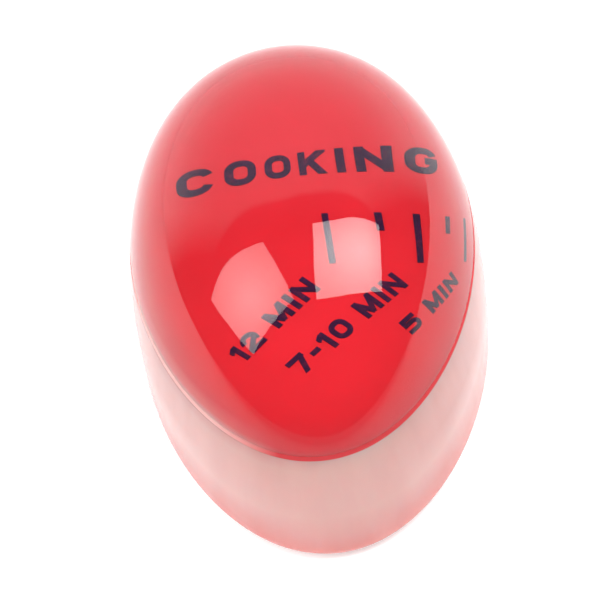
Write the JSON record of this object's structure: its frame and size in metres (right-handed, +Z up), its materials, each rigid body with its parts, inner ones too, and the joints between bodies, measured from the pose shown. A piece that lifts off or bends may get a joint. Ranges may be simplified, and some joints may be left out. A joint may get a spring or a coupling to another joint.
{
  "type": "egg timer",
  "caption": "Flat-bottomed half egg of clear cast resin round a red heat-sensitive layer with a printed scale, which lies in the pan and shows how far the eggs are cooked.",
  "frame": {"origin": "middle of the egg's length and width, on its flat bottom", "axes": "+Y along the egg towards its blunt end, +Z up out of the dome, +X across, to the right when the print is read"},
  "size_m": [0.0422, 0.0598, 0.032],
  "materials": {
    "clear_resin": "clear cast resin, moulded gloss",
    "milky_resin": "translucent cast resin, gloss sides and a sanded flat bottom",
    "red_layer": "heat-sensitive red layer, red when cold",
    "ink": "near-black printing ink"
  },
  "bodies": {
    "root": {"base_block": "milky_resin", "colour_disc": "red_layer", "title_print": "ink", "scale_ticks": "ink", "label_long": "ink", "label_medium": "ink", "label_short": "ink", "clear_dome": "clear_resin"}
  },
  "joints": []
}
